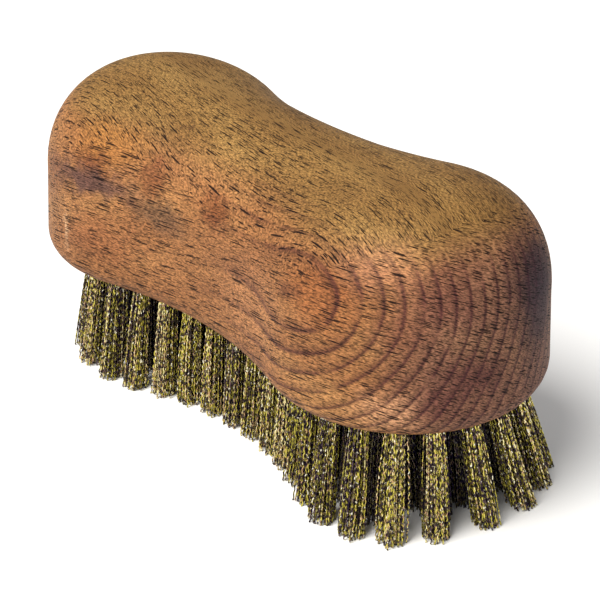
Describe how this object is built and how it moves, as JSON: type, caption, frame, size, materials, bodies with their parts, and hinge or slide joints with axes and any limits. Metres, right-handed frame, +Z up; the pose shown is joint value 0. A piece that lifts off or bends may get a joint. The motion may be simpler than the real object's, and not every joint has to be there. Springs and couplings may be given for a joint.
{
  "type": "wire brush",
  "caption": "Hand wire brush: a waisted, domed beech block that the palm grips, with staple-set tufts of crimped brass wire over its whole underside.",
  "frame": {"origin": "centre of the brush's outline, on the plane of the trimmed wire tips that it stands on", "axes": "+X along the block, +Y across it, +Z up from the wire tips to the domed top of the block"},
  "size_m": [0.13, 0.0566, 0.0666],
  "materials": {
    "beech_wood": "sanded bare beech, tan to reddish, with dark ray flecks and faint growth rings",
    "brass_wire": "dull drawn brass wire, crimped, with dark gaps between the wires"
  },
  "bodies": {
    "root": {"handle_block": "beech_wood", "outer_tuft_01": "brass_wire", "outer_tuft_02": "brass_wire", "outer_tuft_03": "brass_wire", "outer_tuft_04": "brass_wire", "outer_tuft_05": "brass_wire", "outer_tuft_06": "brass_wire", "outer_tuft_07": "brass_wire", "outer_tuft_08": "brass_wire", "outer_tuft_09": "brass_wire", "outer_tuft_10": "brass_wire", "outer_tuft_11": "brass_wire", "outer_tuft_12": "brass_wire", "outer_tuft_13": "brass_wire", "outer_tuft_14": "brass_wire", "outer_tuft_15": "brass_wire", "outer_tuft_16": "brass_wire", "outer_tuft_17": "brass_wire", "outer_tuft_18": "brass_wire", "outer_tuft_19": "brass_wire", "outer_tuft_20": "brass_wire", "outer_tuft_21": "brass_wire", "outer_tuft_22": "brass_wire", "outer_tuft_23": "brass_wire", "outer_tuft_24": "brass_wire", "outer_tuft_25": "brass_wire", "outer_tuft_26": "brass_wire", "outer_tuft_27": "brass_wire", "outer_tuft_28": "brass_wire", "outer_tuft_29": "brass_wire", "outer_tuft_30": "brass_wire", "outer_tuft_31": "brass_wire", "outer_tuft_32": "brass_wire", "outer_tuft_33": "brass_wire", "outer_tuft_34": "brass_wire", "outer_tuft_35": "brass_wire", "outer_tuft_36": "brass_wire", "outer_tuft_37": "brass_wire", "outer_tuft_38": "brass_wire", "outer_tuft_39": "brass_wire", "outer_tuft_40": "brass_wire", "inner_tuft_row_01": "brass_wire", "inner_tuft_row_02": "brass_wire", "inner_tuft_row_03": "brass_wire", "inner_tuft_row_04": "brass_wire", "inner_tuft_row_05": "brass_wire", "inner_tuft_row_06": "brass_wire", "inner_tuft_row_07": "brass_wire", "inner_tuft_row_08": "brass_wire", "inner_tuft_row_09": "brass_wire", "inner_tuft_row_10": "brass_wire", "inner_tuft_row_11": "brass_wire", "inner_tuft_row_12": "brass_wire", "inner_tuft_row_13": "brass_wire", "inner_tuft_row_14": "brass_wire", "inner_tuft_row_15": "brass_wire"}
  },
  "joints": []
}
